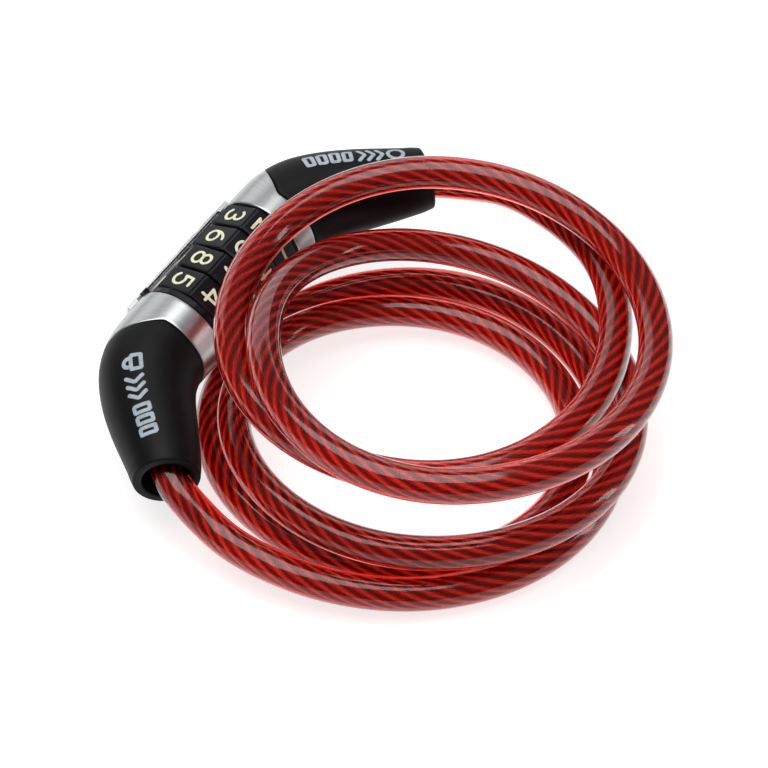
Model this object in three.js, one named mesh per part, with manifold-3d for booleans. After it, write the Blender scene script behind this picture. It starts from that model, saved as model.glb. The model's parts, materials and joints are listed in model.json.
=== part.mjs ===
// A coiled combination cable lock: four dials on a barrel, a plug that pulls out of one end,
// and a sheathed wire rope that runs in loops from the plug's cap round to the fixed cap.
// Millimetres. +Z is up, the origin is on the table at the middle of the footprint, and the
// barrel lies on the coil's -X side. Each mesh is one closed body.

import * as THREE from "three";
import { mergeVertices } from "three/addons/utils/BufferGeometryUtils.js";
import Module from "manifold-3d";

const wasm = await Module();
wasm.setup();

// ---- Driving dimensions ----

const GAP = 0.3; // running and assembly gap between neighbours
const EDGE = 0.4; // small chamfer on outer edges

// The lock's own frame: +X runs along the barrel from the plug end to the fixed end,
// +Y is the outside of the two bends, and the origin is the middle of the barrel.
const LOCK_CENTRE = new THREE.Vector3(-48, 31.2, 23); // from the coil's centre
const LOCK_HEADING = 57; // degrees from the part's +X
const LOCK_RISE = 6; // degrees that the fixed end is tilted up

const BARREL_R = 11.75;
const BARREL_SIDES = 28;
const BEND_START = 24; // the bend in each cap starts this far from the barrel's middle
const BEND_LEAD = 12.3; // how far the bend leans on the barrel's axis
const MOUTH = new THREE.Vector2(54.6, -23.6); // centre of a cap's mouth
const MOUTH_TURN = 40.4; // degrees from the barrel's axis to the mouth's
const MOUTH_LEAD = 13.7; // how far the bend leans on the mouth's axis
const LIP_R = 7.1; // the flat ring round a mouth
const MOUTH_R = 6.3;
const MOUTH_DEPTH = 4; // the mouth narrows to the throat over this length
const THROAT_R = 5.2;
const THROAT_START = 46.2;
const HOLLOW_R = 6.2; // room for the ferrule behind the throat
const SPLIT = 23.3; // collar meets cap here, square across the inner part
const SPLIT_TURN = -2; // up to this distance across the barrel, and slanting beyond it
const SPLIT_SLANT = 0.78; // in mm per mm
const SEAM_HALF = 0.18; // half the width of the seam between collar and cap
// Outer radius of collar and cap, by distance past the start of the bend.
const TAPER = [
  [0, 11.75], [4.2, 11.75], [8.5, 11.6], [13.8, 11.05], [19.1, 10.5], [24.4, 9.9],
  [29.7, 9.2], [34.5, 8.5], [37.7, 8.05], [38.6, 7.6],
];
const COLLAR_BORE_R = 6.5;
const SPRING_POCKET_R = 8; // in the rear collar, up to its shoulder
const POCKET_END = 20.5;
const COLLAR_END = 36; // past the tip of either collar

const DIAL_COUNT = 4;
const DIAL_PITCH = 7.8;
const DIAL_MIDDLE = 1.2; // centre of the stack of dials
const DIAL_FACES = 8;
const DIAL_RIDGE_R = 12; // radius at the ridges between faces
const DIAL_BORE_R = 8.5;
const DIAL_RIDGES = [-4, -4, -12, -12]; // degrees from the top to a ridge, dial by dial
const KEY_WIDTH = 1.6; // keys each clutch ring to its dial
const KEY_R = 9;

const CLUTCH_R = 8.2;
const CLUTCH_BORE_R = 6.5;
const CLUTCH_WIDTH = 4.6;
const NOTCH_R = 7.7;
const NOTCH_WIDTH = 2.9;

const SLEEVE_R = 6.2;
const SLEEVE_BORE_R = 4.4;
const SLEEVE_END = 22.5;
const SLOT_WIDTH = 2.8;
const SLOT_END = 18.4;

const SHANK_R = 4;
const SHANK_TIP = 18.2;
const SHANK_POINT = 1.2; // chamfer that leads the shank in
const BOSS_R = 8;
const BOSS_START = 24.2;
const BOSS_END = 30.2;
const BOSS_EDGE = 0.6;
const LUG_R = 7.3;
const LUG_WIDTH = 2.2; // across the barrel and along it

const RESET_THICK = 1.5;
const RESET_BORE_R = 7.7;
const RESET_R = 11.6;
const NUB_ANGLE = 58; // degrees from the top, towards the outside
const NUB_R = 12.7;
const NUB_WIDTH = 2.2;

const SPRING_COIL_R = 4.9;
const SPRING_TURNS = 3.5;
const SPRING_LENGTH = 4;
const SPRING_WIRE_R = 0.45;

const BAR_ANGLE = 80;
const BAR_WIDTH = 3.6;
const BAR_UNDER = 12.7;
const BAR_OVER = 13.2;
const BAR_PAD = 13.5;
const PAD_LENGTH = 6;
const PAD_WIDTH = 2.8;
const BAR_START = -19.5;
const BAR_END = 20.5;
const LEAF_UNDER = 12.2;
const LEAF_OVER = 12.5;
const LEAF_WIDTH = 2.6;

const PIN_R = 1;
const PIN_AT = 36.4; // distance along the bent axis to a cap's cross pin
const PIN_LOW = -10.6;
const PIN_HIGH = 6.8;

const FERRULE_R = 5.2;
const FERRULE_START = 34.2;
const FERRULE_CUP = 38.4;
const FERRULE_END = 44.8;
const ROPE_START = 39;

const CABLE_R = 4;
const CABLE_BORE_R = 3;
const ROPE_R = 2.55;
const COIL_STEPS = 124; // straight stretches of the faceted cable round the coil
// The cable that goes with the plug, counted from its ferrule. It ends where the cable runs
// square to the plug's slide, so that the two cut ends part without touching.
const TAIL_LENGTH = 55;
const TAIL_STEPS = 8;

// How the cable lies, station by station: angle round the coil in degrees, distance from its
// centre and height above the table.
const LAY = [
  [-140.6, 58.8, 10.1],
  [-90, 50.4, 5.7],
  [0, 44.5, 4.4],
  [90, 47.5, 8.7],
  [180, 49.4, 7],
  [270, 41.6, 5.4],
  [360, 36, 4.4],
  [450, 38.2, 7.7],
  [540, 43.8, 14.2],
  [630, 46.2, 14.3],
  [720, 48.2, 13.9],
  [810, 42.5, 25.5],
  [900, 36, 39.8],
  [990, 48.8, 39],
  [1080, 52.3, 36.6],
  [1170, 51.6, 40.8],
  [1260, 43.8, 34.7],
  [1350, 37.9, 29.6],
  [1440, 42.9, 30],
  [1485, 55, 29.5],
  [1510, 62, 29.2],
];

// ---- Finishes ----

const finish = (color, roughness, metalness) =>
  new THREE.MeshStandardMaterial({ color, roughness, metalness });
const BLACK_CAP = finish(0x1e1e21, 0.6, 0);
const BLACK_DIAL = finish(0x17171c, 0.5, 0);
const SATIN = finish(0xb4b6b8, 0.35, 1);
const STEEL = finish(0x9a9a9c, 0.4, 1);
const SPRING_STEEL = finish(0x8c8c90, 0.3, 1);
const RED_SHEATH = finish(0xb0140e, 0.15, 0);
const ROPE_WIRE = finish(0x9c4a3a, 0.35, 1);

// ---- Helpers ----

const radians = THREE.MathUtils.degToRad;
const fromTop = (angle) =>
  new THREE.Vector2(Math.sin(radians(angle)), Math.cos(radians(angle)));
const centred = (length) => [-length / 2, length / 2];

function solidOf(geometry) {
  const plain = geometry.index ? geometry.toNonIndexed() : geometry.clone();
  plain.deleteAttribute("normal");
  plain.deleteAttribute("uv");
  const merged = mergeVertices(plain, 1e-3);
  return new wasm.Manifold(
    new wasm.Mesh({
      numProp: 3,
      vertProperties: merged.attributes.position.array,
      triVerts: new Uint32Array(merged.index.array),
    }),
  );
}

function geometryOf(solid) {
  const cut = solid.getMesh();
  const geometry = new THREE.BufferGeometry();
  geometry.setAttribute("position", new THREE.BufferAttribute(cut.vertProperties, 3));
  geometry.setIndex(new THREE.BufferAttribute(cut.triVerts, 1));
  geometry.computeVertexNormals();
  return geometry;
}

// A regular polygon with one corner at an angle from the top, its corners listed in
// anticlockwise order.
function polygon(radius, sides, corner = 0, Kind = THREE.Shape) {
  const corners = [];
  for (let i = 0; i < sides; i++) {
    const angle = corner - (i * 360) / sides;
    corners.push(fromTop(angle).multiplyScalar(radius));
  }
  return new Kind(corners);
}

// A closed profile of [distance, radius] pairs turned about the Y axis.
function turnedOnY(profile, sides) {
  const points = profile.map(([along, radius]) => new THREE.Vector2(radius, along));
  return new THREE.LatheGeometry(points, sides);
}

// The same, about the barrel's axis.
const turned = (profile, sides = BARREL_SIDES) =>
  turnedOnY(profile, sides).rotateZ(-Math.PI / 2);

const rod = (from, to, radius, sides = BARREL_SIDES) =>
  turned([[from, 0], [from, radius], [to, radius], [to, 0]], sides);

const tube = (from, to, inner, outer, sides = BARREL_SIDES) =>
  turned(
    [[from, inner], [from, outer], [to, outer], [to, inner], [from, inner]],
    sides,
  );

function block(xs, ys, zs) {
  const size = [xs, ys, zs].map(([low, high]) => high - low);
  const middle = [xs, ys, zs].map(([low, high]) => (high + low) / 2);
  return new THREE.BoxGeometry(...size).translate(...middle);
}

// A shape in the barrel's cross-section (Y across, Z up) drawn out along X, with its end
// edges chamfered.
function prism(shape, from, to) {
  const settings = {
    depth: to - from - 2 * EDGE,
    bevelThickness: EDGE,
    bevelSize: EDGE,
    bevelOffset: -EDGE,
    bevelSegments: 1,
  };
  const onAxis = new THREE.Matrix4().makeBasis(
    new THREE.Vector3(0, 1, 0),
    new THREE.Vector3(0, 0, 1),
    new THREE.Vector3(1, 0, 0),
  );
  return new THREE.ExtrudeGeometry(shape, settings)
    .translate(0, 0, from + EDGE)
    .applyMatrix4(onAxis);
}

// ---- The bent axis of a cap, counted in distance from the barrel's middle ----

const PLUG_SIDE = -1;
const FIXED_SIDE = 1;

function bend(side) {
  const turn = radians(MOUTH_TURN);
  const before = [
    MOUTH.x - MOUTH_LEAD * Math.cos(turn),
    MOUTH.y + MOUTH_LEAD * Math.sin(turn),
  ];
  const points = [[BEND_START, 0], [BEND_START + BEND_LEAD, 0], before, MOUTH.toArray()];
  return new THREE.CubicBezierCurve3(
    ...points.map(([x, y]) => new THREE.Vector3(side * x, y, 0)),
  );
}
const bends = { [PLUG_SIDE]: bend(PLUG_SIDE), [FIXED_SIDE]: bend(FIXED_SIDE) };
const MOUTH_AT = BEND_START + bends[FIXED_SIDE].getLength();

function axisPoint(side, distance) {
  if (distance < BEND_START) return new THREE.Vector3(side * distance, 0, 0);
  const share = (distance - BEND_START) / (MOUTH_AT - BEND_START);
  const point = bends[side].getPointAt(Math.min(share, 1));
  const past = Math.max(distance - MOUTH_AT, 0);
  return point.addScaledVector(axisTangent(side, distance), past);
}

function axisTangent(side, distance) {
  if (distance < BEND_START) return new THREE.Vector3(side, 0, 0);
  const share = (distance - BEND_START) / (MOUTH_AT - BEND_START);
  return bends[side].getTangentAt(Math.min(share, 1));
}

// Profile points at one radius, close enough together to follow the bend.
const follow = (from, to, radius, steps = 3) =>
  Array.from({ length: steps + 1 }, (_, i) => [from + ((to - from) * i) / steps, radius]);

// A profile turned about the bent axis of one cap.
function turnedOnBend(side, profile, sides = BARREL_SIDES) {
  const geometry = turnedOnY(profile, sides);
  const position = geometry.attributes.position;
  for (let i = 0; i < position.count; i++) {
    const distance = position.getY(i);
    const tangent = axisTangent(side, distance);
    const across = tangent.clone().cross(new THREE.Vector3(0, 0, 1));
    const point = axisPoint(side, distance).addScaledVector(across, position.getX(i));
    position.setXYZ(i, point.x, point.y, position.getZ(i));
  }
  return geometry;
}

// Everything on the cap's side of the split between collar and cap.
function beyondSplit(side, shift) {
  const reach = 40;
  const start = SPLIT + shift;
  const corners = [
    [start, -reach],
    [start, SPLIT_TURN],
    [start + SPLIT_SLANT * (reach - SPLIT_TURN), reach],
    [2 * reach, reach],
    [2 * reach, -reach],
  ];
  const outline = corners.map(([x, y]) => new THREE.Vector2(side * x, y));
  const region = new THREE.ExtrudeGeometry(new THREE.Shape(outline), {
    depth: 2 * reach,
    bevelEnabled: false,
  });
  return solidOf(region.translate(0, 0, -reach));
}

// ---- Collars and caps ----

const STACK_HALF = (DIAL_COUNT * DIAL_PITCH) / 2 - GAP / 2;
const STACK_FRONT = DIAL_MIDDLE - STACK_HALF;
const STACK_REAR = DIAL_MIDDLE + STACK_HALF;
const RESET_REAR = STACK_FRONT - GAP;
const COLLAR_START = {
  [PLUG_SIDE]: -(RESET_REAR - RESET_THICK - GAP),
  [FIXED_SIDE]: STACK_REAR + GAP,
};

// Outer skin from a collar's face at the dials to the rounded lip of the cap's mouth.
function skin(side) {
  const start = COLLAR_START[side];
  const taper = TAPER.map(([along, radius]) => [BEND_START + along, radius]);
  return solidOf(
    turnedOnBend(side, [
      [start, 0],
      [start, BARREL_R - EDGE],
      [start + EDGE, BARREL_R],
      ...taper,
      [MOUTH_AT, LIP_R],
      [MOUTH_AT, 0],
    ]),
  );
}

// A round bore between two distances from the barrel's middle.
function bore(side, from, to, radius) {
  const ends = [side * from, side * to].sort((a, b) => a - b);
  return solidOf(rod(...ends, radius));
}

const collarBlank = (side) => skin(side).subtract(beyondSplit(side, -SEAM_HALF));

function rearCollar() {
  const body = collarBlank(FIXED_SIDE)
    .subtract(bore(FIXED_SIDE, COLLAR_START[FIXED_SIDE] - 1, POCKET_END, SPRING_POCKET_R))
    .subtract(bore(FIXED_SIDE, POCKET_END - 1, COLLAR_END, COLLAR_BORE_R));
  return geometryOf(body);
}

// The plug's lugs pass through a keyway on the underside of the front collar's bore.
function frontCollar() {
  const keyway = block(
    [-COLLAR_END, 0],
    centred(LUG_WIDTH + 2 * GAP),
    [-LUG_R - GAP, 0],
  );
  const body = collarBlank(PLUG_SIDE)
    .subtract(bore(PLUG_SIDE, COLLAR_START[PLUG_SIDE] - 1, COLLAR_END, COLLAR_BORE_R))
    .subtract(bore(PLUG_SIDE, BOSS_START - GAP, COLLAR_END, BOSS_R + GAP))
    .subtract(solidOf(keyway));
  return geometryOf(body);
}

function cap(side, socketR) {
  const socket = bore(side, SPLIT - 3, BOSS_END + GAP, socketR);
  const hollow = turnedOnBend(side, [
    [BOSS_END - 1, 0],
    ...follow(BOSS_END - 1, THROAT_START - 1, HOLLOW_R, 4),
    ...follow(THROAT_START, MOUTH_AT - 2 * MOUTH_DEPTH, THROAT_R),
    [MOUTH_AT - MOUTH_DEPTH, MOUTH_R],
    [MOUTH_AT + 2, MOUTH_R],
    [MOUTH_AT + 2, 0],
  ], 16);
  const pinHole = pinRod(side, PIN_R + GAP, PIN_LOW - CABLE_R, PIN_HIGH + GAP);
  const body = skin(side)
    .intersect(beyondSplit(side, SEAM_HALF))
    .subtract(socket)
    .subtract(solidOf(hollow))
    .subtract(solidOf(pinHole));
  return geometryOf(body);
}

function pinRod(side, radius, low, high) {
  const at = axisPoint(side, PIN_AT);
  return new THREE.CylinderGeometry(radius, radius, high - low, 12)
    .rotateX(Math.PI / 2)
    .translate(at.x, at.y, (high + low) / 2);
}

function ferrule(side) {
  const shell = turnedOnBend(side, [
    [FERRULE_START, 0],
    [FERRULE_START, FERRULE_R - EDGE],
    ...follow(FERRULE_START + EDGE, FERRULE_END, FERRULE_R),
    ...follow(FERRULE_END, FERRULE_CUP, CABLE_BORE_R),
    [FERRULE_CUP, 0],
  ], 18);
  const hole = pinRod(side, PIN_R + GAP, -FERRULE_R - 1, FERRULE_R + 1);
  return geometryOf(solidOf(shell).subtract(solidOf(hole)));
}

// ---- Dials and what turns with them ----

const dialCentre = (index) =>
  DIAL_MIDDLE + (1.5 - index) * DIAL_PITCH;

function dial(index) {
  const outline = polygon(DIAL_RIDGE_R, DIAL_FACES, DIAL_RIDGES[index]);
  const from = dialCentre(index) - (DIAL_PITCH - GAP) / 2;
  const to = from + DIAL_PITCH - GAP;
  const hole = rod(from - 1, to + 1, DIAL_BORE_R);
  const groove = block([from - 1, to + 1], centred(KEY_WIDTH + 2 * GAP), [0, KEY_R + GAP]);
  return geometryOf(
    solidOf(prism(outline, from, to)).subtract(solidOf(hole)).subtract(solidOf(groove)),
  );
}

function clutchRing(index) {
  const from = dialCentre(index) - CLUTCH_WIDTH / 2;
  const to = from + CLUTCH_WIDTH;
  const key = block([from, to], centred(KEY_WIDTH), [CLUTCH_R - EDGE, KEY_R]);
  const notch = block([from - 1, to + 1], centred(NOTCH_WIDTH), [-NOTCH_R, -SLEEVE_R]);
  const ring = tube(from, to, CLUTCH_BORE_R, CLUTCH_R);
  return geometryOf(solidOf(ring).add(solidOf(key)).subtract(solidOf(notch)));
}

// ---- Sleeve, plug and reset parts ----

function innerSleeve() {
  const slot = block(
    [-SLEEVE_END - 1, SLOT_END],
    centred(SLOT_WIDTH),
    [-SLEEVE_R - 1, 0],
  );
  const body = tube(-SLEEVE_END, SLEEVE_END, SLEEVE_BORE_R, SLEEVE_R);
  return geometryOf(solidOf(body).subtract(solidOf(slot)));
}

function plugShank() {
  const profile = [
    [-BOSS_END, 0],
    [-BOSS_END, BOSS_R - BOSS_EDGE],
    [-BOSS_END + BOSS_EDGE, BOSS_R],
    [-BOSS_START, BOSS_R],
    [-BOSS_START, SHANK_R],
    [SHANK_TIP - SHANK_POINT, SHANK_R],
    [SHANK_TIP, SHANK_R - SHANK_POINT],
    [SHANK_TIP, 0],
  ];
  let body = solidOf(turned(profile, 24));
  for (let index = 0; index < DIAL_COUNT; index++) {
    const middle = dialCentre(index) + DIAL_PITCH / 2;
    const lug = block(centred(LUG_WIDTH), centred(LUG_WIDTH), [-LUG_R, -SHANK_R / 2]);
    body = body.add(solidOf(lug.translate(middle, 0, 0)));
  }
  return geometryOf(body);
}

function resetRing() {
  const from = RESET_REAR - RESET_THICK;
  const ring = tube(from, RESET_REAR, RESET_BORE_R, RESET_R);
  const nub = block([from, RESET_REAR], centred(NUB_WIDTH), [RESET_R - 1, NUB_R]);
  nub.rotateX(-radians(NUB_ANGLE));
  return geometryOf(solidOf(ring).add(solidOf(nub)));
}

class SpringWire extends THREE.Curve {
  getPoint(share) {
    const angle = share * SPRING_TURNS * 2 * Math.PI;
    return new THREE.Vector3(
      SLEEVE_END + 2 * SPRING_WIRE_R + share * SPRING_LENGTH,
      SPRING_COIL_R * Math.cos(angle),
      SPRING_COIL_R * Math.sin(angle),
    );
  }
}

const resetSpring = () =>
  new THREE.ExtrudeGeometry(polygon(SPRING_WIRE_R, 6), {
    steps: 56,
    extrudePath: new SpringWire(),
  });

// ---- Index bar and the leaf spring under it ----

const onBar = (geometry) => geometry.rotateX(-radians(BAR_ANGLE));

function indexBar() {
  const across = centred(BAR_WIDTH);
  const pads = [0, 1].map((index) =>
    block(centred(PAD_LENGTH), centred(PAD_WIDTH), [BAR_UNDER, BAR_PAD])
      .translate(dialCentre(index), 0, 0),
  );
  const feet = [
    [BAR_START, -COLLAR_START[PLUG_SIDE]],
    [COLLAR_START[FIXED_SIDE], BAR_END],
  ].map((ends) => block(ends, across, [BARREL_R + GAP, BAR_OVER]));
  const strip = block([BAR_START, BAR_END], across, [BAR_UNDER, BAR_OVER]);
  const whole = [...pads, ...feet].reduce(
    (sum, piece) => sum.add(solidOf(piece)),
    solidOf(strip),
  );
  return onBar(geometryOf(whole));
}

const detentSpring = () =>
  onBar(
    block([STACK_FRONT + GAP, STACK_REAR - GAP], centred(LEAF_WIDTH), [LEAF_UNDER, LEAF_OVER]),
  );

// ---- Cable ----

const lock = new THREE.Group();
lock.position.copy(LOCK_CENTRE);
lock.rotation.set(0, -radians(LOCK_RISE), radians(LOCK_HEADING), "ZYX");
lock.updateMatrixWorld(true);

// Where the cable leaves a mouth, off its centre: towards the inside of the bend, and down.
const MOUTH_LEAN = { [PLUG_SIDE]: [0.6, 0.3], [FIXED_SIDE]: [0.4, 0.5] };

// The centre line inside a cap: on the bent axis at first, then leaning over in the mouth.
function lineInCap(side) {
  const [inward, down] = MOUTH_LEAN[side];
  const inside = axisTangent(side, MOUTH_AT).cross(new THREE.Vector3(0, 0, side));
  const atMouth = axisPoint(side, MOUTH_AT - 1).addScaledVector(inside, inward);
  atMouth.z -= down;
  return [0, 4, 8, 12, 16]
    .map((step) => axisPoint(side, ROPE_START + step))
    .concat(atMouth)
    .map((point) => point.applyMatrix4(lock.matrixWorld));
}

// The centre line from the plug's ferrule round the coil to the fixed ferrule.
function cableLine() {
  const stations = LAY.map(([angle, out, up]) => new THREE.Vector3(angle, out, up));
  const coil = new THREE.CatmullRomCurve3(stations)
    .getPoints(5 * (stations.length - 1))
    .map(({ x, y, z }) =>
      new THREE.Vector3(y * Math.cos(radians(x)), y * Math.sin(radians(x)), z),
    );
  const line = new THREE.CatmullRomCurve3([
    ...lineInCap(PLUG_SIDE),
    ...coil,
    ...lineInCap(FIXED_SIDE).reverse(),
  ]);
  line.arcLengthDivisions = 4000;
  return line;
}

const line = cableLine();
const LINE_LENGTH = line.getLength();

// The part of the line between two distances along it.
class Stretch extends THREE.Curve {
  constructor(from, to) {
    super();
    this.from = from / LINE_LENGTH;
    this.to = to / LINE_LENGTH;
  }
  getPoint(share) {
    return line.getPointAt(this.from + (this.to - this.from) * share);
  }
}

function rope(from, to, steps) {
  return new THREE.ExtrudeGeometry(polygon(ROPE_R, 6), {
    steps,
    extrudePath: new Stretch(from, to),
  });
}

function sheath(from, to, steps) {
  const section = polygon(CABLE_R, 10);
  section.holes.push(polygon(CABLE_BORE_R, 10, 0, THREE.Path));
  return new THREE.ExtrudeGeometry(section, {
    steps,
    extrudePath: new Stretch(from, to),
  });
}

// ---- Assembly ----

const group = new THREE.Group();

function place(parent, name, geometry, material) {
  const mesh = new THREE.Mesh(geometry, material);
  mesh.name = name;
  parent.add(mesh);
}

group.add(lock);
place(lock, "rear_cap", cap(FIXED_SIDE, COLLAR_BORE_R), BLACK_CAP);
place(lock, "rear_collar", rearCollar(), SATIN);
place(lock, "front_collar", frontCollar(), SATIN);
place(lock, "inner_sleeve", innerSleeve(), STEEL);
place(lock, "index_bar", indexBar(), SATIN);
place(lock, "detent_spring", detentSpring(), SPRING_STEEL);
place(lock, "reset_spring", resetSpring(), SPRING_STEEL);
place(lock, "reset_ring", resetRing(), BLACK_DIAL);
for (let index = 0; index < DIAL_COUNT; index++) {
  place(lock, `dial_${index + 1}`, dial(index), BLACK_DIAL);
  place(lock, `clutch_ring_${index + 1}`, clutchRing(index), STEEL);
}
place(lock, "plug_shank", plugShank(), STEEL);
place(lock, "front_cap", cap(PLUG_SIDE, BOSS_R + GAP), BLACK_CAP);
place(lock, "front_ferrule", ferrule(PLUG_SIDE), STEEL);
place(lock, "rear_ferrule", ferrule(FIXED_SIDE), STEEL);
place(lock, "front_cap_pin", pinRod(PLUG_SIDE, PIN_R, PIN_LOW, PIN_HIGH), STEEL);
place(lock, "rear_cap_pin", pinRod(FIXED_SIDE, PIN_R, PIN_LOW, PIN_HIGH), STEEL);

// The sheath is stripped back one step at each ferrule, so its facets match the rope's.
const tailStep = TAIL_LENGTH / TAIL_STEPS;
place(group, "plug_cable_sheath", sheath(tailStep, TAIL_LENGTH, TAIL_STEPS - 1), RED_SHEATH);
place(group, "plug_cable_rope", rope(0, TAIL_LENGTH, TAIL_STEPS), ROPE_WIRE);
const coilStart = TAIL_LENGTH + GAP;
const coilStep = (LINE_LENGTH - coilStart) / COIL_STEPS;
place(
  group,
  "cable_sheath",
  sheath(coilStart, LINE_LENGTH - coilStep, COIL_STEPS - 1),
  RED_SHEATH,
);
place(group, "cable_rope", rope(coilStart, LINE_LENGTH, COIL_STEPS), ROPE_WIRE);

// The coil's centre was the origin up to here. The footprint's middle takes its place.
const bounds = new THREE.Box3().setFromObject(group, true);
const middle = bounds.getCenter(new THREE.Vector3());
group.position.set(-middle.x, -middle.y, -bounds.min.z);

export default group;
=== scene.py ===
"""Looks of the cable lock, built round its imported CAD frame. Metres, +Z up."""

import json
import math

import bmesh
import bpy
import numpy as np
from mathutils import Matrix, Vector


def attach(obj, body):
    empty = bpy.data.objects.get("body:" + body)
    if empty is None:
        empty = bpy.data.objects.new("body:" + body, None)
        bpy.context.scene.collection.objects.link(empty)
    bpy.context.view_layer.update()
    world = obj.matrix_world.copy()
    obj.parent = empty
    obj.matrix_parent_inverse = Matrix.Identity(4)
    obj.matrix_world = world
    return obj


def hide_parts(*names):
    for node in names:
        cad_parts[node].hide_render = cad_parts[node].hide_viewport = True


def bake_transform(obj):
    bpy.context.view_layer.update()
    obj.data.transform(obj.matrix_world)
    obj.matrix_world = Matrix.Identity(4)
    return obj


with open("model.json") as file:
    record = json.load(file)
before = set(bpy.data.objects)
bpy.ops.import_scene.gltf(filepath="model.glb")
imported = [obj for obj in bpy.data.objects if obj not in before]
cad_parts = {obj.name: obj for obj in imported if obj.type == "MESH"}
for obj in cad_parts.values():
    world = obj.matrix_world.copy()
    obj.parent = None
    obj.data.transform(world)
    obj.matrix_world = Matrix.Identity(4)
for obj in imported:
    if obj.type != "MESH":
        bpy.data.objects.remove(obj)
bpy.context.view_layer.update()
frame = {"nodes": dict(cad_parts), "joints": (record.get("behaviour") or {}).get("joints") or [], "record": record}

MM = 0.001
TURN = 2 * math.pi

# ---- Sizes, in millimetres ----

BARREL_R = 11.75
BEND_START = 24.0
BEND_LEAD = 12.3
MOUTH = (54.6, -23.6)
MOUTH_TURN = 40.4
MOUTH_LEAD = 13.7
TAPER = (
    (0, 11.75), (4.2, 11.75), (8.5, 11.6), (13.8, 11.05), (19.1, 10.5), (24.4, 9.9),
    (29.7, 9.2), (34.5, 8.5), (37.7, 8.05), (38.8, 7.75),
)
LIP_R = 7.15
MOUTH_R = 5.6
THROAT_R = 4.8
THROAT_START = 46.2
ROPE_START = 39.0
SPLIT = 23.3
SPLIT_TURN = -2.0
SPLIT_SLANT = 0.78
SEAM_HALF = 0.16
VERTEX_SOFT = 0.5
BAR_ANGLE = 80.0
ROUND = 144

DIAL_FACES = 8
DIAL_PITCH = 7.8
DIAL_MIDDLE = 1.2
DIAL_WIDTH = 7.5
DIAL_RIDGE_R = 12.0
DIAL_BORE_R = 8.5
DIAL_EDGE = 0.55
GROOVE_HALF = 0.5
GROOVE_DEEP = 0.35
DIAL_RIDGES = (-4, -4, -12, -12)
COLLAR_START = {"front": 16.35, "rear": 16.95}
BORE_R = {"front": 8.3, "rear": 6.5}
CAP_HOLLOW_R = 6.2
CAP_EDGE = 0.35
COLLAR_EDGE = 0.3
LIP_BAND = 0.7
MOUTH_EDGE = 0.45

CABLE_R = 3.95
ROPE_R = 2.25
STRANDS = 7
VALLEY_SHARE = 0.6
LAY_LENGTH = 34.0
WIRES_PER_LAY = 16
BARE_END = 7.0
CABLE_SEAM_Y = -13.5

# ---- Frame of the barrel: +X towards the fixed cap, +Y to the outside of the bends ----


def lock_frame():
    joint = next(j for j in frame["joints"] if j["name"] == "dial_1_spin")
    mount = next(m for m in frame["record"]["mounts"] if m["name"] == "index_bar_face")
    along = Vector(joint["axis"]).normalized()
    bar = Vector(mount["axis"]).normalized()
    beside = along.cross(bar)
    tilt = math.radians(BAR_ANGLE)
    outside = math.sin(tilt) * bar - math.cos(tilt) * beside
    up = math.cos(tilt) * bar + math.sin(tilt) * beside
    basis = Matrix((along, outside, up)).transposed().to_4x4()
    return Matrix.Translation(Vector(joint["pos_m"])) @ basis


LOCK = lock_frame()
LOCK_AXES = np.array(LOCK.to_3x3())
LOCK_ORIGIN = np.array(LOCK.translation)


def to_world(points):
    """Points in millimetres of the barrel's frame, as metres of the part's frame."""
    return np.asarray(points, float) * MM @ LOCK_AXES.T + LOCK_ORIGIN


# ---- Mesh helpers ----


def new_object(name, points, faces, material, smooth=True):
    mesh = bpy.data.meshes.new(name)
    mesh.from_pydata(np.asarray(points).tolist(), [], faces)
    mesh.update()
    piece = bpy.data.objects.new(name, mesh)
    bpy.context.scene.collection.objects.link(piece)
    mesh.materials.append(material)
    if smooth:
        mesh.shade_smooth()
    return piece


def grid_faces(rings, sides, closed_ends=True, loop=False):
    """Quads between rings of the same number of points, wound to face out."""
    faces = []
    last = rings if loop else rings - 1
    for k in range(last):
        here, there = k * sides, ((k + 1) % rings) * sides
        for j in range(sides):
            after = (j + 1) % sides
            faces.append((here + j, here + after, there + after, there + j))
    if closed_ends and not loop:
        faces.append(tuple(range(sides))[::-1])
        faces.append(tuple(range((rings - 1) * sides, rings * sides)))
    return faces


def grid_uv(mesh, rings, sides, heights):
    """Once round is 0 to 1 in u, and v is the height of each ring."""
    layer = mesh.uv_layers.new(name="UVMap")
    starts = np.array([p.loop_start for p in mesh.polygons])
    totals = np.array([p.loop_total for p in mesh.polygons])
    uv = np.zeros((len(mesh.loops), 2), np.float32)
    count = 0
    for k in range(len(heights) - 1):
        for j in range(sides):
            s = starts[count]
            uv[s:s + 4] = (
                (j / sides, heights[k]),
                ((j + 1) / sides, heights[k]),
                ((j + 1) / sides, heights[k + 1]),
                (j / sides, heights[k + 1]),
            )
            count += 1
    layer.data.foreach_set("uv", uv.ravel())


def face_out(piece):
    bm = bmesh.new()
    bm.from_mesh(piece.data)
    bmesh.ops.recalc_face_normals(bm, faces=bm.faces)
    bm.to_mesh(piece.data)
    bm.free()


def sharpen(piece, degrees):
    """Smooth shading with sharp edges past an angle."""
    piece.data.shade_smooth()
    piece.data.set_sharp_from_angle(angle=math.radians(degrees))


# ---- Material helpers ----


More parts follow.
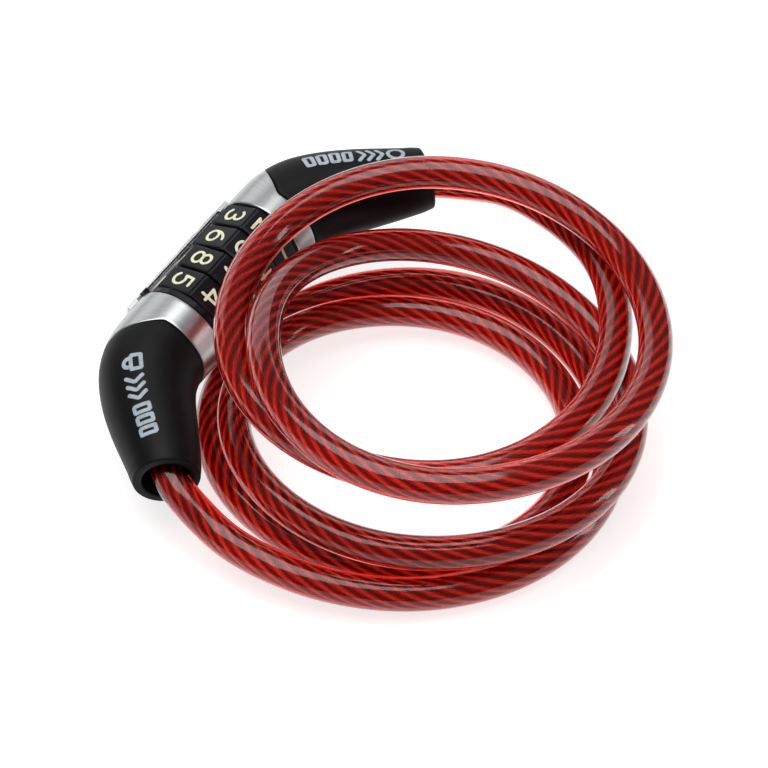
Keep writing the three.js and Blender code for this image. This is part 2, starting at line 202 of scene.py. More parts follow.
class Nodes:
    """A short way to write a node tree."""

    def __init__(self, name):
        self.material = bpy.data.materials.new(name)
        self.material.use_nodes = True
        self.tree = self.material.node_tree
        self.tree.nodes.clear()
        self.out = self.tree.nodes.new("ShaderNodeOutputMaterial")

    def add(self, kind, settings=None, **inputs):
        node = self.tree.nodes.new("ShaderNode" + kind)
        for key, value in (settings or {}).items():
            setattr(node, key, value)
        for key, value in inputs.items():
            self.feed(node.inputs[int(key[1:]) if key[0] == "_" else key.replace("_", " ")], value)
        return node

    def feed(self, socket, value):
        if isinstance(value, bpy.types.Node):
            value = value.outputs[0]
        if isinstance(value, bpy.types.NodeSocket):
            self.tree.links.new(value, socket)
        else:
            socket.default_value = value

    def maths(self, operation, a, b=0.0):
        return self.add("Math", {"operation": operation}, _0=a, _1=b)

    def ramp(self, value, *stops):
        node = self.add("ValToRGB", _0=value)
        ends = node.color_ramp.elements
        while len(ends) < len(stops):
            ends.new(0.5)
        for element, (place, colour) in zip(ends, stops):
            element.position = place
            element.color = (*colour, 1) if len(colour) == 3 else colour
        return node

    def finish(self, surface):
        self.feed(self.out.inputs["Surface"], surface)
        return self.material


def grey(level):
    return (level, level, level, 1)


def uv_pattern(n, scale):
    """The UV coordinates stretched by a pair of scales."""
    coordinates = n.add("UVMap", {"uv_map": "UVMap"})
    return n.add("Mapping", Vector=coordinates, Scale=(scale[0], scale[1], 1))


def cap_material():
    n = Nodes("soft_touch_black")
    place = n.add("TexCoord").outputs["Object"]
    grain = n.add("TexNoise", Vector=place, Scale=2600, Detail=3)
    cloud = n.add("TexNoise", Vector=place, Scale=160, Detail=4)
    colour = n.ramp(cloud, (0.3, (0.0025, 0.0025, 0.0032)), (0.75, (0.0042, 0.0042, 0.0052)))
    rough = n.maths("MULTIPLY_ADD", cloud, 0.16)
    rough.inputs[2].default_value = 0.42
    bump = n.add("Bump", Strength=0.12, Distance=0.00006, Height=grain)
    surface = n.add(
        "BsdfPrincipled", Base_Color=colour.outputs["Color"], Roughness=rough, Normal=bump,
        Specular_IOR_Level=0.15,
    )
    return n.finish(surface)


def dial_material():
    n = Nodes("dial_black")
    place = n.add("TexCoord").outputs["Object"]
    grain = n.add("TexNoise", Vector=place, Scale=1800, Detail=3)
    cloud = n.add("TexNoise", Vector=place, Scale=300, Detail=3)
    colour = n.ramp(cloud, (0.3, (0.0025, 0.0025, 0.005)), (0.8, (0.005, 0.005, 0.009)))
    rough = n.maths("MULTIPLY_ADD", cloud, 0.2)
    rough.inputs[2].default_value = 0.25
    bump = n.add("Bump", Strength=0.08, Distance=0.00005, Height=grain)
    surface = n.add(
        "BsdfPrincipled", Base_Color=colour.outputs["Color"], Roughness=rough, Normal=bump,
        Specular_IOR_Level=0.25,
    )
    return n.finish(surface)


def print_material(name, light, dark):
    n = Nodes(name)
    place = n.add("TexCoord").outputs["Object"]
    cloud = n.add("TexNoise", Vector=place, Scale=900, Detail=4)
    colour = n.ramp(cloud, (0.25, dark), (0.6, light))
    bump = n.add("Bump", Strength=0.1, Distance=0.00005, Height=cloud)
    surface = n.add(
        "BsdfPrincipled", Base_Color=colour.outputs["Color"], Roughness=0.55, Normal=bump,
    )
    return n.finish(surface)


def brushed_material():
    """Satin metal with fine lines that run round the barrel."""
    n = Nodes("satin_metal")
    lines = n.add("TexNoise", Vector=uv_pattern(n, (3, 9000)), Scale=1, Detail=5, Roughness=0.7)
    bands = n.add("TexNoise", Vector=uv_pattern(n, (1.5, 1800)), Scale=1, Detail=3)
    colour = n.ramp(bands, (0.3, (0.44, 0.455, 0.46)), (0.7, (0.51, 0.525, 0.53)))
    rough = n.maths("MULTIPLY_ADD", lines, 0.16)
    rough.inputs[2].default_value = 0.26
    bump = n.add("Bump", Strength=0.22, Distance=0.00004, Height=lines)
    surface = n.add(
        "BsdfPrincipled", Base_Color=colour.outputs["Color"], Metallic=1.0, Roughness=rough,
        Normal=bump,
    )
    return n.finish(surface)


def steel_material(name, level, rough_low):
    n = Nodes(name)
    place = n.add("TexCoord").outputs["Object"]
    lines = n.add("TexNoise", Vector=place, Scale=1400, Detail=4)
    cloud = n.add("TexNoise", Vector=place, Scale=220, Detail=3)
    colour = n.ramp(cloud, (0.3, (level * 0.85,) * 3), (0.7, (level,) * 3))
    rough = n.maths("MULTIPLY_ADD", lines, 0.18)
    rough.inputs[2].default_value = rough_low
    bump = n.add("Bump", Strength=0.12, Distance=0.00003, Height=lines)
    surface = n.add(
        "BsdfPrincipled", Base_Color=colour.outputs["Color"], Metallic=1.0, Roughness=rough,
        Normal=bump,
    )
    return n.finish(surface)


def rope_material():
    """Galvanised wires: fine lines along each strand. The colour holds painted shade in the valleys between
    strands and painted glints on the crowns, along the wires and in long flecks.
    """
    n = Nodes("rope_wire")
    coordinates = n.add("UVMap", {"uv_map": "UVMap"})
    split = n.add("SeparateXYZ", Vector=coordinates)
    turned = n.maths("MULTIPLY_ADD", split.outputs["Y"], WIRES_PER_LAY / (LAY_LENGTH * MM))
    n.feed(turned.inputs[2], n.maths("MULTIPLY", split.outputs["X"], 6.0 * STRANDS))
    wires = n.maths("SINE", n.maths("MULTIPLY", turned, TURN))
    strands = n.maths("COSINE", n.maths("MULTIPLY", split.outputs["X"], TURN * STRANDS))
    # Painted glints: long thin bright flecks along each strand.
    painted_glint_flecks = n.add("TexNoise", Vector=uv_pattern(n, (90, 260)), Scale=1, Detail=4, Roughness=0.7)
    # Painted light across each strand: lit crowns, shaded valleys.
    crown_light_valley_shade = n.maths("MULTIPLY_ADD", strands, -0.5)
    crown_light_valley_shade.inputs[2].default_value = 0.5
    # Painted glints along the wires.
    painted_wire_glint = n.maths("MULTIPLY_ADD", wires, 0.16)
    painted_wire_glint.inputs[2].default_value = 0.0
    painted_light_tone = n.maths("MULTIPLY", n.maths("POWER", crown_light_valley_shade, 1.2), n.maths("ADD", painted_glint_flecks, 0.35))
    painted_light_tone = n.maths("ADD", painted_light_tone, painted_wire_glint)
    # Painted shade at the dark end (valleys), painted orange-white glints at the bright end (crowns).
    colour = n.ramp(
        painted_light_tone, (0.1, (0.30, 0.10, 0.08)), (0.42, (0.46, 0.32, 0.27)), (0.74, (1.0, 0.9, 0.8)))
    bump = n.add("Bump", Strength=0.9, Distance=0.00012, Height=wires)
    surface = n.add(
        "BsdfPrincipled", Base_Color=colour.outputs["Color"], Metallic=1.0, Roughness=0.34,
        Normal=bump,
    )
    return n.finish(surface)


def sheath_material():
    """Clear red vinyl with a soft gloss. Lamp light passes straight in, tinted, to the rope."""
    n = Nodes("red_vinyl")
    place = n.add("TexCoord").outputs["Object"]
    ripple = n.add("TexNoise", Vector=place, Scale=90, Detail=2)
    cloud = n.add("TexNoise", Vector=place, Scale=45, Detail=3)
    tint = n.ramp(cloud, (0.3, (0.74, 0.022, 0.01)), (0.7, (0.83, 0.03, 0.014)))
    lamp_tint = n.ramp(cloud, (0.3, (0.86, 0.14, 0.09)), (0.7, (0.93, 0.18, 0.115)))
    bump = n.add("Bump", Strength=0.05, Distance=0.0006, Height=ripple)
    glass = n.add(
        "BsdfPrincipled", Base_Color=tint.outputs["Color"], Roughness=0.03, IOR=1.5, Normal=bump,
        Transmission_Weight=1.0, Specular_Tint=grey(0.1), Coat_Weight=0.85, Coat_Roughness=0.13,
    )
    clear = n.add("BsdfTransparent", Color=lamp_tint.outputs["Color"])
    shadow = n.add("LightPath").outputs["Is Shadow Ray"]
    return n.finish(n.add("MixShader", _0=shadow, _1=glass, _2=clear))


def open_end_material():
    """Lets sight straight through where two stretches of clear vinyl meet."""
    n = Nodes("vinyl_meeting_face")
    place = n.add("TexCoord").outputs["Object"]
    cloud = n.add("TexNoise", Vector=place, Scale=45, Detail=3)
    tint = n.ramp(cloud, (0.3, (0.98, 0.97, 0.97)), (0.7, (1.0, 0.99, 0.99)))
    return n.finish(n.add("BsdfTransparent", Color=tint.outputs["Color"]))


MATERIALS = {
    "cap": cap_material(),
    "dial": dial_material(),
    "satin_metal": brushed_material(),
    "steel": steel_material("machined_steel", 0.52, 0.22),
    "spring_steel": steel_material("spring_steel", 0.45, 0.16),
    "rope": rope_material(),
    "sheath": sheath_material(),
    "open_end": open_end_material(),
    "digits": print_material("cream_fill", (0.82, 0.80, 0.56), (0.66, 0.64, 0.44)),
    "mark": print_material("pale_print", (0.40, 0.46, 0.52), (0.27, 0.32, 0.37)),
}

# ---- The bent axis of a cap ----


def bend_table(count=600):
    t = np.linspace(0, 1, count)[:, None]
    turn = math.radians(MOUTH_TURN)
    a = np.array((BEND_START, 0.0))
    b = np.array((BEND_START + BEND_LEAD, 0.0))
    d = np.array(MOUTH)
    c = d - MOUTH_LEAD * np.array((math.cos(turn), -math.sin(turn)))
    points = (1 - t) ** 3 * a + 3 * t * (1 - t) ** 2 * b + 3 * t ** 2 * (1 - t) * c + t ** 3 * d
    slopes = (1 - t) ** 2 * (b - a) + 2 * t * (1 - t) * (c - b) + t ** 2 * (d - c)
    steps = np.linalg.norm(np.diff(points, axis=0), axis=1)
    reach = BEND_START + np.concatenate(([0], np.cumsum(steps)))
    return reach, points, slopes / np.linalg.norm(slopes, axis=1)[:, None]


REACH, BEND_POINTS, BEND_SLOPES = bend_table()
MOUTH_AT = REACH[-1]


def bend_at(distance):
    """Point and tangent of the axis, in the barrel's X and Y, at distances from its middle."""
    distance = np.asarray(distance, float)
    point = np.stack([np.interp(distance, REACH, BEND_POINTS[:, i]) for i in (0, 1)], -1)
    slope = np.stack([np.interp(distance, REACH, BEND_SLOPES[:, i]) for i in (0, 1)], -1)
    before = np.minimum(distance - BEND_START, 0)
    point[..., 0] += before
    past = np.maximum(distance - MOUTH_AT, 0)
    return point + slope * past[..., None], slope


def on_bend(side, distance, radius, angle):
    """Surface points at distances along the bent axis, radii and angles from the top."""
    point, slope = bend_at(distance)
    across = np.stack([-slope[..., 1], slope[..., 0]], -1)
    sideways = np.asarray(radius) * np.sin(angle)
    flat = point + across * sideways[..., None]
    up = np.asarray(radius) * np.cos(angle) * np.ones_like(flat[..., 0])
    return np.stack([side * flat[..., 0], flat[..., 1], up], -1)


def smooth_taper(distance):
    """Radius of the outer skin: the taper's points joined by smooth cubics."""
    x = np.array([p[0] for p in TAPER], float) + BEND_START
    y = np.array([p[1] for p in TAPER], float)
    secant = np.diff(y) / np.diff(x)
    slope = np.concatenate(([0], (secant[1:] + secant[:-1]) / 2, secant[-1:]))
    distance = np.clip(distance, x[0], x[-1])
    i = np.clip(np.searchsorted(x, distance, side="right") - 1, 0, len(x) - 2)
    step = x[i + 1] - x[i]
    t = (distance - x[i]) / step
    return (
        (2 * t ** 3 - 3 * t ** 2 + 1) * y[i] + (t ** 3 - 2 * t ** 2 + t) * step * slope[i]
        + (-2 * t ** 3 + 3 * t ** 2) * y[i + 1] + (t ** 3 - t ** 2) * step * slope[i + 1]
    )


ANGLES = np.linspace(0, TURN, ROUND, endpoint=False)


def split_distance(shift):
    """Where the seam between collar and cap crosses each angle, as distance along the axis."""
    low, high = np.full(ROUND, BEND_START - 4), np.full(ROUND, BEND_START + 18)
    for _ in range(40):
        middle = (low + high) / 2
        points = on_bend(1, middle, smooth_taper(middle), ANGLES)
        y = points[:, 1] - SPLIT_TURN
        outer = (y + np.sqrt(y ** 2 + VERTEX_SOFT ** 2)) / 2
        beyond = points[:, 0] > SPLIT + shift + SPLIT_SLANT * outer
        low, high = np.where(beyond, low, middle), np.where(beyond, middle, high)
    return (low + high) / 2


def shell(name, side, rings, material):
    """A closed shell about one cap's axis from rings of (distance, radius) at each angle."""
    points, heights = [], []
    for distance, radius in rings:
        distance = distance * np.ones(ROUND)
        points.append(on_bend(side, distance, radius * np.ones(ROUND), ANGLES))
        heights.append(float(distance.mean()) * MM)
    piece = new_object(
        name, to_world(np.concatenate(points)),
        grid_faces(len(rings), ROUND, loop=True), material,
    )
    grid_uv(piece.data, len(rings), ROUND, heights)
    face_out(piece)
    sharpen(piece, 50)
    return piece


def rounded(distance, radius, edge, into, steps=4):
    """Rings that round an outer edge: from the face, edge deep, up to the skin."""
    rings = []
    for i in range(steps + 1):
        turn = (i / steps) * math.pi / 2
        rings.append((
            distance + into * edge * (1 - math.sin(turn)),
            radius - edge * (1 - math.cos(turn)),
        ))
    return rings


SIDES = {"front": -1, "rear": 1}
BODIES = {"front": "plug", "rear": "lock_body"}


def make_cap(end):
    socket_r = BORE_R[end]
    start = split_distance(SEAM_HALF)
    edge = CAP_EDGE
    rings = [(start, socket_r)]
    rings += rounded(start, smooth_taper(start), edge, 1)[::-1]
    lip_start = MOUTH_AT - LIP_BAND
    for share in np.linspace(0.04, 1, 46):
        distance = start + edge + (lip_start - start - edge) * share
        rings.append((distance, smooth_taper(distance)))
    skin_r = float(smooth_taper(lip_start))
    for turn in np.linspace(0.15, 1, 7) * math.pi / 2:
        rings.append((
            lip_start + (MOUTH_AT - lip_start) * math.sin(turn),
            skin_r - (skin_r - LIP_R) * (1 - math.cos(turn)),
        ))
    for turn in np.linspace(0, 1, 5) * math.pi / 2:
        rings.append((
            MOUTH_AT - MOUTH_EDGE * (1 - math.cos(turn)),
            MOUTH_R + MOUTH_EDGE * (1 - math.sin(turn)),
        ))
    rings += [
        (MOUTH_AT - 3.2, MOUTH_R), (MOUTH_AT - 5.4, THROAT_R), (THROAT_START, THROAT_R),
        (THROAT_START - 1, CAP_HOLLOW_R), (np.maximum(31.0, start + 1.0), CAP_HOLLOW_R),
        (np.maximum(30.5, start + 0.5), socket_r),
    ]
    piece = shell(f"{end}_cap_boot", SIDES[end], rings, MATERIALS["cap"])
    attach(piece, BODIES[end])
    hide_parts(f"{end}_cap")


def make_collar(end):
    bore_r = BORE_R[end]
    start = COLLAR_START[end]
    stop = split_distance(-SEAM_HALF)
    edge = COLLAR_EDGE
    rings = [(start, bore_r)]
    rings += rounded(start, BARREL_R, edge, 1)[::-1]
    for share in np.linspace(0.08, 0.94, 14):
        distance = start + edge + (stop - start - 2 * edge) * share
        rings.append((distance, smooth_taper(distance)))
    rings += rounded(stop, smooth_taper(stop), edge, -1)
    rings.append((stop, bore_r))
    piece = shell(f"{end}_collar_ring", SIDES[end], rings, MATERIALS["satin_metal"])
    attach(piece, "lock_body")
    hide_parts(f"{end}_collar")


for maker in (make_cap, make_collar):
    for end in SIDES:
        maker(end)

# ---- Dials ----


def dial_outline(ridge_angle):
    """Angle and radius round an octagon with a shallow groove at each ridge."""
    facet = TURN / DIAL_FACES
    flat_r = DIAL_RIDGE_R * math.cos(facet / 2)
    angles, radii = [], []
    for face in range(DIAL_FACES):
        middle = math.radians(ridge_angle) + (face + 0.5) * facet
        half = flat_r * math.tan(facet / 2)
        across = [-half, -half + 0.1, -half + GROOVE_HALF, -half + GROOVE_HALF + 0.2]
        across += list(np.linspace(-half + 1.2, half - 1.2, 5))
        across += [-x for x in reversed(across[1:4])]
        for x in across:
            edge = half - abs(x)
            sunk = GROOVE_DEEP * max(0.0, 1 - edge / GROOVE_HALF) ** 0.7
            softened = 0.04 * max(0.0, 1 - edge / (GROOVE_HALF + 0.2)) ** 2
            angles.append(middle + math.atan2(x, flat_r))
            radii.append(math.hypot(x, flat_r) - sunk - softened)
    return np.array(angles), np.array(radii)


def dial_centre(index):
    return DIAL_MIDDLE + (1.5 - index) * DIAL_PITCH


def make_dial(index):
    angles, radii = dial_outline(DIAL_RIDGES[index])
    half = DIAL_WIDTH / 2
    edge = DIAL_EDGE
    rings = [(-half, None), (-half, 1.5)]
    for turn in np.linspace(0, 1, 5) * math.pi / 2:
        rings.append((-half + edge * (1 - math.cos(turn)), edge * (1 - math.sin(turn))))
    rings += [(x, 0.0) for x in (-half + 1.2, 0.0, half - 1.2)]
    rings += [(-x, sunk) for x, sunk in reversed(rings[:7])]
    points = []
    for x, sunk in rings:
        ring_r = np.full(len(radii), DIAL_BORE_R) if sunk is None else radii - sunk
        ring = np.stack(
            [np.full(len(radii), dial_centre(index) + x), ring_r * np.sin(angles),
             ring_r * np.cos(angles)], -1)
        points.append(ring)
    piece = new_object(
        f"dial_{index + 1}_wheel", to_world(np.concatenate(points)),
        grid_faces(len(rings), len(radii), loop=True), MATERIALS["dial"])
    face_out(piece)
    sharpen(piece, 35)
    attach(piece, f"dial_{index + 1}_turns")
    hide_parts(f"dial_{index + 1}")


for index in range(4):
    make_dial(index)

# ---- Characters and marks, drawn as raised ribbons ----


def arc(cx, cy, rx, ry, start, stop, steps=14):
    """Points of an elliptical arc, in degrees anticlockwise from the right."""
    turns = np.radians(np.linspace(start, stop, steps))
    return [(cx + rx * math.cos(t), cy + ry * math.sin(t)) for t in turns]


# Strokes of each digit in a box 0.6 wide and 1 high.
DIGITS = (
    ([(0.14, 0.80), (0.34, 1.0)], [(0.34, 1.0), (0.34, 0.0)]),
    (arc(0.3, 0.71, 0.28, 0.29, 170, -28) + [(0.02, 0.0)], [(0.02, 0.0), (0.6, 0.0)]),
    (arc(0.28, 0.75, 0.25, 0.25, 150, -90), arc(0.28, 0.26, 0.3, 0.26, 90, -150)),
    ([(0.44, 0.0), (0.44, 1.0)], [(0.44, 1.0), (0.0, 0.3)], [(0.0, 0.3), (0.6, 0.3)]),
    ([(0.54, 1.0), (0.12, 1.0)], [(0.12, 1.0), (0.06, 0.55)],
     [(0.06, 0.55)] + arc(0.28, 0.31, 0.3, 0.31, 105, -150)),
    (arc(0.3, 0.3, 0.29, 0.3, 0, 360, 24), arc(0.52, 0.3, 0.51, 0.7, 180, 100)),
    ([(0.0, 1.0), (0.58, 1.0)], [(0.58, 1.0), (0.2, 0.0)]),
    (arc(0.3, 0.75, 0.25, 0.25, 0, 360, 22), arc(0.3, 0.26, 0.3, 0.26, 0, 360, 24)),
)


def resample(points, step):
    points = np.array(points, float)
    lengths = np.linalg.norm(np.diff(points, axis=0), axis=1)
    places = np.concatenate(([0], np.cumsum(lengths)))
    count = max(3, int(round(places[-1] / step)) + 1)
    wanted = np.linspace(0, places[-1], count)
    return np.stack([np.interp(wanted, places, points[:, i]) for i in (0, 1)], -1)


def ribbon(points, width, height, place):
    """A raised stroke with round ends, laid on a surface by place(across, up, lift)."""
    line = resample(points, width * 0.4)
    slope = np.gradient(line, axis=0)
    slope /= np.linalg.norm(slope, axis=1)[:, None]
    ends = np.radians((90, 60, 30))
    stations = []
    for turn in ends:
        stations.append((line[0] - slope[0] * width / 2 * math.sin(turn), slope[0], math.cos(turn)))
    stations += [(p, s, 1.0) for p, s in zip(line, slope)]
    for turn in ends[::-1]:
        tip = line[-1] + slope[-1] * width / 2 * math.sin(turn)
        stations.append((tip, slope[-1], math.cos(turn)))
    section = [(-1, -0.6), (-1, 0.45), (-0.72, 0.9), (0, 1), (0.72, 0.9), (1, 0.45), (1, -0.6)]
    rows = []
    for centre, direction, share in stations:
        normal = np.array((-direction[1], direction[0]))
        for across, lift in section:
            spot = centre + normal * across * max(share, 0.03) * width / 2
            rows.append(place(spot[0], spot[1], lift * height * (0.5 + 0.5 * share)))
    return rows, grid_faces(len(stations), len(section))


def ribbons(name, strokes, width, height, place, material, body):
    points, faces = [], []
    for stroke in strokes:
        rows, quads = ribbon(stroke, width, height, place)
        faces += [tuple(i + len(points) for i in q) for q in quads]
        points += rows
    piece = new_object(name, to_world(points), faces, material)
    face_out(piece)
    sharpen(piece, 60)
    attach(piece, body)
    return piece


DIGIT_HEIGHT = 4.9
DIGIT_WIDEN = 1.2
DIGIT_STROKE = 0.74
DIGIT_RAISE = 0.09
SHOWN_FIRST = (2, 5, 7, 4)


def make_digits(index):
    """One digit in the middle of each face, read towards the front cap."""
    facet = TURN / DIAL_FACES
    flat_r = DIAL_RIDGE_R * math.cos(facet / 2)
    all_points, all_faces = [], []
    for face in range(DIAL_FACES):
        turn = math.radians(DIAL_RIDGES[index]) + (face + 0.5) * facet
        out = np.array((0, math.sin(turn), math.cos(turn)))
        upward = np.array((0, -math.cos(turn), math.sin(turn)))
        centre = np.array((dial_centre(index), 0, 0)) + out * flat_r

        def place(across, up, lift):
            return (
                centre + np.array((-1, 0, 0)) * (across - 0.3 * DIGIT_WIDEN * DIGIT_HEIGHT)
                + upward * (up - 0.5 * DIGIT_HEIGHT) + out * lift
            )

        for stroke in DIGITS[(face + SHOWN_FIRST[index]) % DIAL_FACES]:
            scaled = [(x * DIGIT_WIDEN * DIGIT_HEIGHT, y * DIGIT_HEIGHT) for x, y in stroke]
            rows, quads = ribbon(scaled, DIGIT_STROKE, DIGIT_RAISE, place)
            all_faces += [tuple(i + len(all_points) for i in q) for q in quads]
            all_points += rows
    piece = new_object(
        f"dial_{index + 1}_digits", to_world(all_points), all_faces, MATERIALS["digits"])
    face_out(piece)
    sharpen(piece, 60)
    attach(piece, f"dial_{index + 1}_turns")


for index in range(4):
    make_digits(index)

def box(x, y, wide, high):
    return [(x, y), (x + wide, y), (x + wide, y + high), (x, y + high), (x, y)]


def chevron(x):
    return [(x, 0.1), (x + 1.5, 2.1), (x, 4.1)]


# Plain signs along each cap, in millimetres: a padlock, arrows and a row of windows.
MARK_START = 35.0
MARK_ANGLE = math.radians(12)
MARK_HEIGHT = 4.2
MARK_STROKE = 0.95
PADLOCK = [box(0, 0, 3.6, 2.4), [(0.7, 2.4)] + arc(1.8, 2.9, 1.1, 1.3, 180, 0) + [(2.9, 2.4)]]
MARKS = {
    "front": PADLOCK + [chevron(x) for x in (5.6, 7.8, 10.0)]
    + [box(x, 0.3, 1.7, 3.6) for x in (13.4, 16.4, 19.4)],
    "rear": [box(x, 0.3, 1.7, 3.6) for x in (0.0, 3.0, 6.0, 9.0)]
    + [chevron(x) for x in (12.6, 14.8, 17.0)] + [arc(21.6, 2.1, 1.9, 1.9, 0, 360, 24)],
}


def make_mark(end):
    def place(along, up, lift):
        distance = np.array([MARK_START + along])
        radius = smooth_taper(distance) + lift
        angle = MARK_ANGLE + (up - MARK_HEIGHT / 2) / radius
        return on_bend(SIDES[end], distance, radius, angle)[0]

    piece = ribbons(
        f"{end}_cap_print", MARKS[end], MARK_STROKE, 0.06, place, MATERIALS["mark"], BODIES[end])


make_mark("front")
make_mark("rear")

# ---- Cable ----


def vertex_mean(node):
    return np.mean([tuple(v.co) for v in frame["nodes"][node].data.vertices], axis=0)


def ring_centres(node, start_near):
    """Centres of a rope's six-sided rings, walked from the end nearest a point."""
    bm = bmesh.new()
    bm.from_mesh(frame["nodes"][node].data)
    bmesh.ops.remove_doubles(bm, verts=bm.verts, dist=1e-5)
    near = Vector(start_near)
    level = sorted(bm.verts, key=lambda v: (v.co - near).length)[:6]
    seen = set(level)
    centres = []
    while level:
        centres.append(np.mean([tuple(v.co) for v in level], axis=0))
        beside = {e.other_vert(v) for v in level for e in v.link_edges}
        level = list(beside - seen)
        seen.update(level)
    bm.free()
    return centres


def spline_through(points, step):
    """Evenly spaced points of a natural cubic spline through a list of points."""
    points = np.array(points)
    h = np.linalg.norm(np.diff(points, axis=0), axis=1)
    count = len(points)
    system, right = np.eye(count), np.zeros((count, 3))
    for i in range(1, count - 1):
        system[i, i - 1:i + 2] = h[i - 1], 2 * (h[i - 1] + h[i]), h[i]
        right[i] = 6 * (
            (points[i + 1] - points[i]) / h[i] - (points[i] - points[i - 1]) / h[i - 1])
    bent = np.linalg.solve(system, right)
    places = np.concatenate(([0], np.cumsum(h)))

    def at(s):
        i = np.clip(np.searchsorted(places, s, side="right") - 1, 0, count - 2)
        a, b, w = (places[i + 1] - s)[:, None], (s - places[i])[:, None], h[i][:, None]
        return (
            (bent[i] * a ** 3 + bent[i + 1] * b ** 3) / (6 * w)
            + (points[i] / w - bent[i] * w / 6) * a
            + (points[i + 1] / w - bent[i + 1] * w / 6) * b
        )

    fine = at(np.linspace(0, places[-1], 12000))
    run = np.concatenate(([0], np.cumsum(np.linalg.norm(np.diff(fine, axis=0), axis=1))))
    even = np.linspace(0, run[-1], int(run[-1] / step) + 1)
    return np.stack([np.interp(even, run, fine[:, i]) for i in range(3)], -1), even


def carried_frames(line):
    """Tangents and two normals carried along a line without twist."""
    tangent = np.gradient(line, axis=0)
    tangent /= np.linalg.norm(tangent, axis=1)[:, None]
    normal = np.zeros_like(line)
    normal[0] = np.cross(tangent[0], (0, 0, 1))
    normal[0] /= np.linalg.norm(normal[0])
    for i in range(1, len(line)):
        carried = normal[i - 1] - tangent[i] * (normal[i - 1] @ tangent[i])
        normal[i] = carried / np.linalg.norm(carried)
    return normal, np.cross(tangent, normal)


CABLE_STEP = 1.6 * MM
front_rings = ring_centres("plug_cable_rope", vertex_mean("front_ferrule"))
rear_rings = ring_centres("cable_rope", vertex_mean("rear_ferrule"))[::-1]
meeting = (front_rings[-1] + rear_rings[0]) / 2
LINE, ALONG = spline_through(front_rings[:-1] + [meeting] + rear_rings[1:], CABLE_STEP)
NORMAL, BINORMAL = carried_frames(LINE)


def swept(name, first, last, angles, radii, material):
    """A solid swept along the cable from one ring to another."""
    angles = np.broadcast_to(angles, (last - first, angles.shape[-1]))
    cos, sin = np.cos(angles)[..., None], np.sin(angles)[..., None]
    part = slice(first, last)
    points = LINE[part, None] + radii[None, :, None] * (
        NORMAL[part, None] * cos + BINORMAL[part, None] * sin)
    sides = radii.shape[0]
    piece = new_object(
        name, points.reshape(-1, 3), grid_faces(last - first, sides), material)
    grid_uv(piece.data, last - first, sides, ALONG[part])
    return piece


def strand_outline(points_each=6):
    """Outer outline of a ring of round strands that touch, their valleys filled in part."""
    strand_r = ROPE_R / (1 + 1 / math.sin(math.pi / STRANDS)) * 1.04
    centre_r = ROPE_R - strand_r
    offsets = (np.arange(points_each) - points_each / 2) / points_each * TURN / STRANDS
    radii = centre_r * np.cos(offsets) + np.sqrt(
        np.maximum(strand_r ** 2 - (centre_r * np.sin(offsets)) ** 2, 0))
    radii = ROPE_R - VALLEY_SHARE * (ROPE_R - radii)
    angles = np.concatenate([offsets + k * TURN / STRANDS for k in range(STRANDS)])
    return angles, np.tile(radii, STRANDS) * MM


def make_cable():
    # The cable is built in two stretches, the plug's and the coil's; only the coil's is attached, to the lock
    # body.
    # They part at the far side of the coil, under the loops above.
    past = np.nonzero((LINE[:, 1] > CABLE_SEAM_Y * MM) & (LINE[:, 0] > 0))[0]
    seam = int(past[0])
    bare = int(BARE_END * MM / CABLE_STEP)
    strand_angles, strand_radii = strand_outline()
    round_angles = np.linspace(0, TURN, 32, endpoint=False)
    round_radii = np.full(32, CABLE_R * MM)
    twist = ALONG * TURN / (LAY_LENGTH * MM)
    spans = (
        ("plug", 0, seam + 1, bare, seam + 1),
        ("coil", seam, len(LINE), seam, len(LINE) - bare),
    )
    for name, first, last, sheath_first, sheath_last in spans:
        rope = swept(
            f"{name}_rope_strands", first, last,
            strand_angles[None] + twist[first:last, None], strand_radii, MATERIALS["rope"])
        sheath = swept(
            f"{name}_vinyl_sheath", sheath_first, sheath_last, round_angles[None], round_radii,
            MATERIALS["sheath"])
        sheath.data.materials.append(MATERIALS["open_end"])
        meeting_face = len(sheath.data.polygons) - (1 if name == "plug" else 2)
        sheath.data.polygons[meeting_face].material_index = 1
        sharpen(sheath, 60)
        for piece in (rope, sheath):
            face_out(piece)
            if name == "plug":
                start = LINE[int((MOUTH_AT - ROPE_START) * MM / CABLE_STEP)]
                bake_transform(piece)
                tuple(start)
            else:
                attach(piece, "lock_body")
    cad = {"plug": ("plug_cable_rope", "plug_cable_sheath"), "coil": ("cable_rope", "cable_sheath")}
    for name, (rope_node, sheath_node) in cad.items():
        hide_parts(rope_node)
        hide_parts(sheath_node)


make_cable()

# ---- CAD pieces that stay: edges rounded, materials assigned ----

KEPT = {
    "spring_steel": ("detent_spring", "reset_spring"),
    "satin_metal": ("index_bar",),
    "dial": ("reset_ring",),
    "steel": (
        "inner_sleeve", "plug_shank", "front_ferrule", "rear_ferrule", "front_cap_pin",
        "rear_cap_pin", "clutch_ring_1", "clutch_ring_2", "clutch_ring_3", "clutch_ring_4",
    ),
}


def refine(node, material):
    piece = frame["nodes"][node]
    piece.data.materials.clear()
    piece.data.materials.append(material)
    piece.modifiers.new("weld", "WELD").merge_threshold = 1e-5
    bevel = piece.modifiers.new("edges", "BEVEL")
    bevel.width = 0.12 * MM
    bevel.segments = 2
    bevel.limit_method = "ANGLE"
    bevel.angle_limit = math.radians(40)


for slot_name, nodes in KEPT.items():
    for node in nodes:
        refine(node, MATERIALS[slot_name])

# ---- Floor, lights and camera ----

CAMERA_AIM = Vector((0.000403, -0.008207, 0.020466))
CAMERA_RISE = math.radians(44.787)
CAMERA_FAR = 0.6093
SENSOR_WIDE = 36
LENS = 123.98
FLOOR_GLOW = 0.76
WORLD_LOW = 0.07
WORLD_HIGH = 0.2


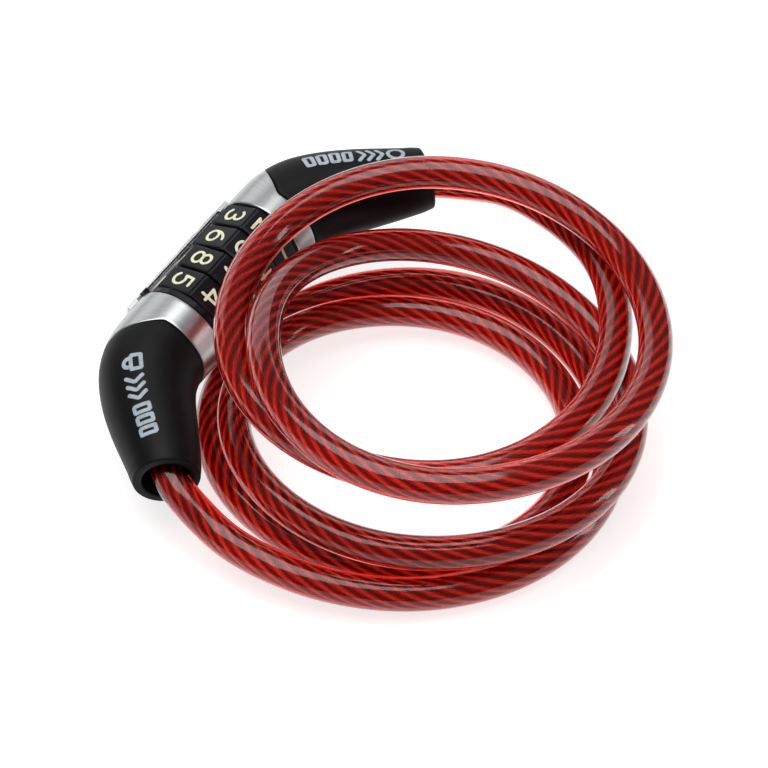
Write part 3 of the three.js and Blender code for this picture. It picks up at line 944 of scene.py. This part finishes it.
def stage_floor():
    n = Nodes("pale_floor")
    place = n.add("TexCoord").outputs["Object"]
    cloud = n.add("TexNoise", Vector=place, Scale=14, Detail=3)
    colour = n.ramp(cloud, (0.3, (0.44, 0.44, 0.44)), (0.7, (0.46, 0.46, 0.46)))
    material = n.finish(n.add(
        "BsdfPrincipled", Base_Color=colour.outputs["Color"], Roughness=0.8,
        Specular_IOR_Level=0.1, Emission_Color=(1, 1, 1, 1), Emission_Strength=FLOOR_GLOW,
    ))
    half = 4.0
    low = -0.1 * MM
    corners = [(-half, -half, low), (half, -half, low), (half, half, low), (-half, half, low)]
    new_object("floor", corners, [(0, 1, 2, 3)], material, smooth=False)


def soft_box(name, place, size, radiance, aim=(0, 0, 0.02)):
    """A flat lamp that looks evenly bright from the front."""
    data = bpy.data.lights.new(name, "AREA")
    data.shape = "RECTANGLE"
    data.size, data.size_y = size
    data.energy = radiance * math.pi * size[0] * size[1]
    lamp = bpy.data.objects.new(name, data)
    lamp.location = place
    lamp.rotation_euler = (Vector(aim) - Vector(place)).to_track_quat("-Z", "Y").to_euler()
    bpy.context.scene.collection.objects.link(lamp)


def make_world():
    """Even surroundings, a little darker towards the horizon."""
    world = bpy.data.worlds.new("studio")
    bpy.context.scene.world = world
    world.use_nodes = True
    tree = world.node_tree
    place = tree.nodes.new("ShaderNodeTexCoord")
    split = tree.nodes.new("ShaderNodeSeparateXYZ")
    ramp = tree.nodes.new("ShaderNodeValToRGB")
    low, high = ramp.color_ramp.elements
    low.color = grey(WORLD_LOW)
    high.color = grey(WORLD_HIGH)
    tree.links.new(place.outputs["Generated"], split.inputs[0])
    tree.links.new(split.outputs["Z"], ramp.inputs[0])
    tree.links.new(ramp.outputs["Color"], tree.nodes["Background"].inputs["Color"])


def make_studio():
    stage_floor()
    soft_box("overhead_box", (-0.1, -0.02, 0.8), (0.75, 0.7), 3.9)
    soft_box("back_wall", (-0.25, 0.9, 0.45), (1.4, 0.6), 1.1)
    soft_box("right_strip", (0.68, -0.03, 0.19), (0.08, 0.4), 4.5)
    make_world()


def make_camera():
    data = bpy.data.cameras.new("camera")
    data.sensor_width = SENSOR_WIDE
    data.lens = LENS
    data.clip_start = 0.01
    data.clip_end = 20
    camera = bpy.data.objects.new("camera", data)
    back = Vector((0, -math.cos(CAMERA_RISE), math.sin(CAMERA_RISE)))
    camera.location = CAMERA_AIM + back * CAMERA_FAR
    camera.rotation_euler = (-back).to_track_quat("-Z", "Y").to_euler()
    bpy.context.scene.collection.objects.link(camera)
    bpy.context.scene.camera = camera


make_studio()
make_camera()
view = bpy.context.scene.view_settings
view.view_transform = "Standard"
cycles = bpy.context.scene.cycles
cycles.max_bounces = 14
cycles.transmission_bounces = 10
cycles.transparent_max_bounces = 16
